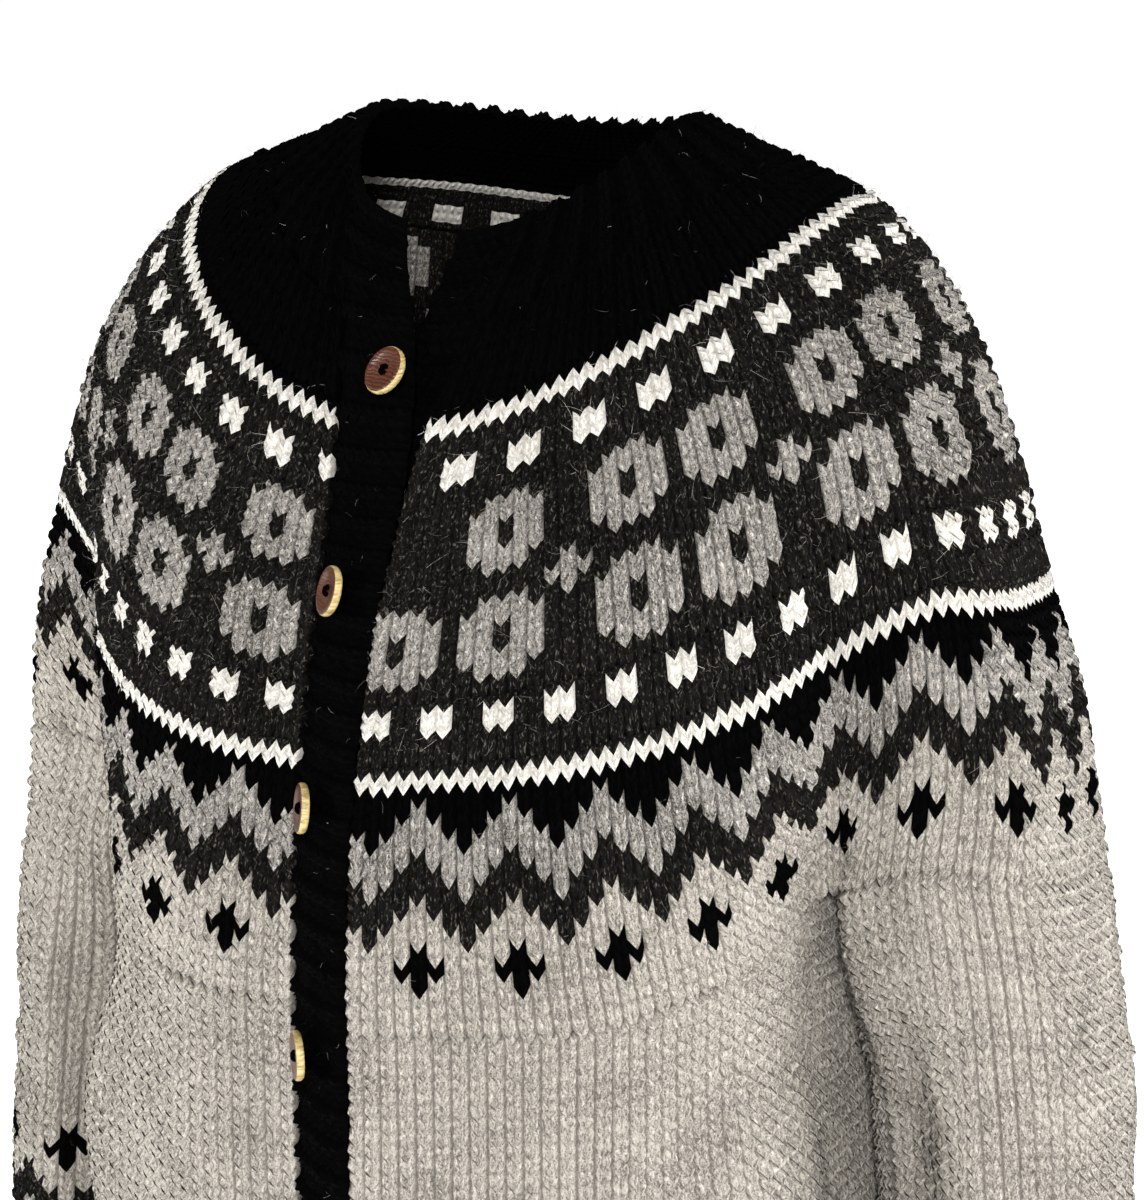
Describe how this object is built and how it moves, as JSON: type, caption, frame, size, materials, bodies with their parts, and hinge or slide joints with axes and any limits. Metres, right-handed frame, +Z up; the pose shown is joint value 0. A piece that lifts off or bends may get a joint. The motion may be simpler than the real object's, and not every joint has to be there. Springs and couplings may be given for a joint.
{
  "type": "cardigan",
  "caption": "Hand-knit round-yoke cardigan in worn form: ribbed collar open at a V, button front, patterned yoke, hanging sleeves, ribbed hem and cuffs.",
  "frame": {"origin": "centre of the neck opening, level with the tops of the wearer's shoulders", "axes": "+Z up along the wearer's spine, -Y out of the front opening, +X toward the wearer's left"},
  "size_m": [0.5036, 0.2975, 0.6137],
  "materials": {
    "black_wool": "ribbed near-black wool",
    "patterned_wool": "charcoal wool with grey, white and black pattern",
    "grey_wool": "light grey heather stockinette wool",
    "brown_wood": "satin brown wood with a pale edge"
  },
  "bodies": {
    "root": {"collar": "black_wool", "yoke": "patterned_wool", "body": "grey_wool", "sleeve_left": "grey_wool", "sleeve_right": "grey_wool", "hem_rib": "black_wool", "cuff_left": "black_wool", "cuff_right": "black_wool", "button_band": "black_wool", "buttonhole_band": "black_wool", "button_1": "brown_wood", "button_2": "brown_wood", "button_3": "brown_wood", "button_4": "brown_wood", "button_5": "brown_wood", "button_6": "brown_wood", "button_7": "brown_wood"}
  },
  "joints": []
}
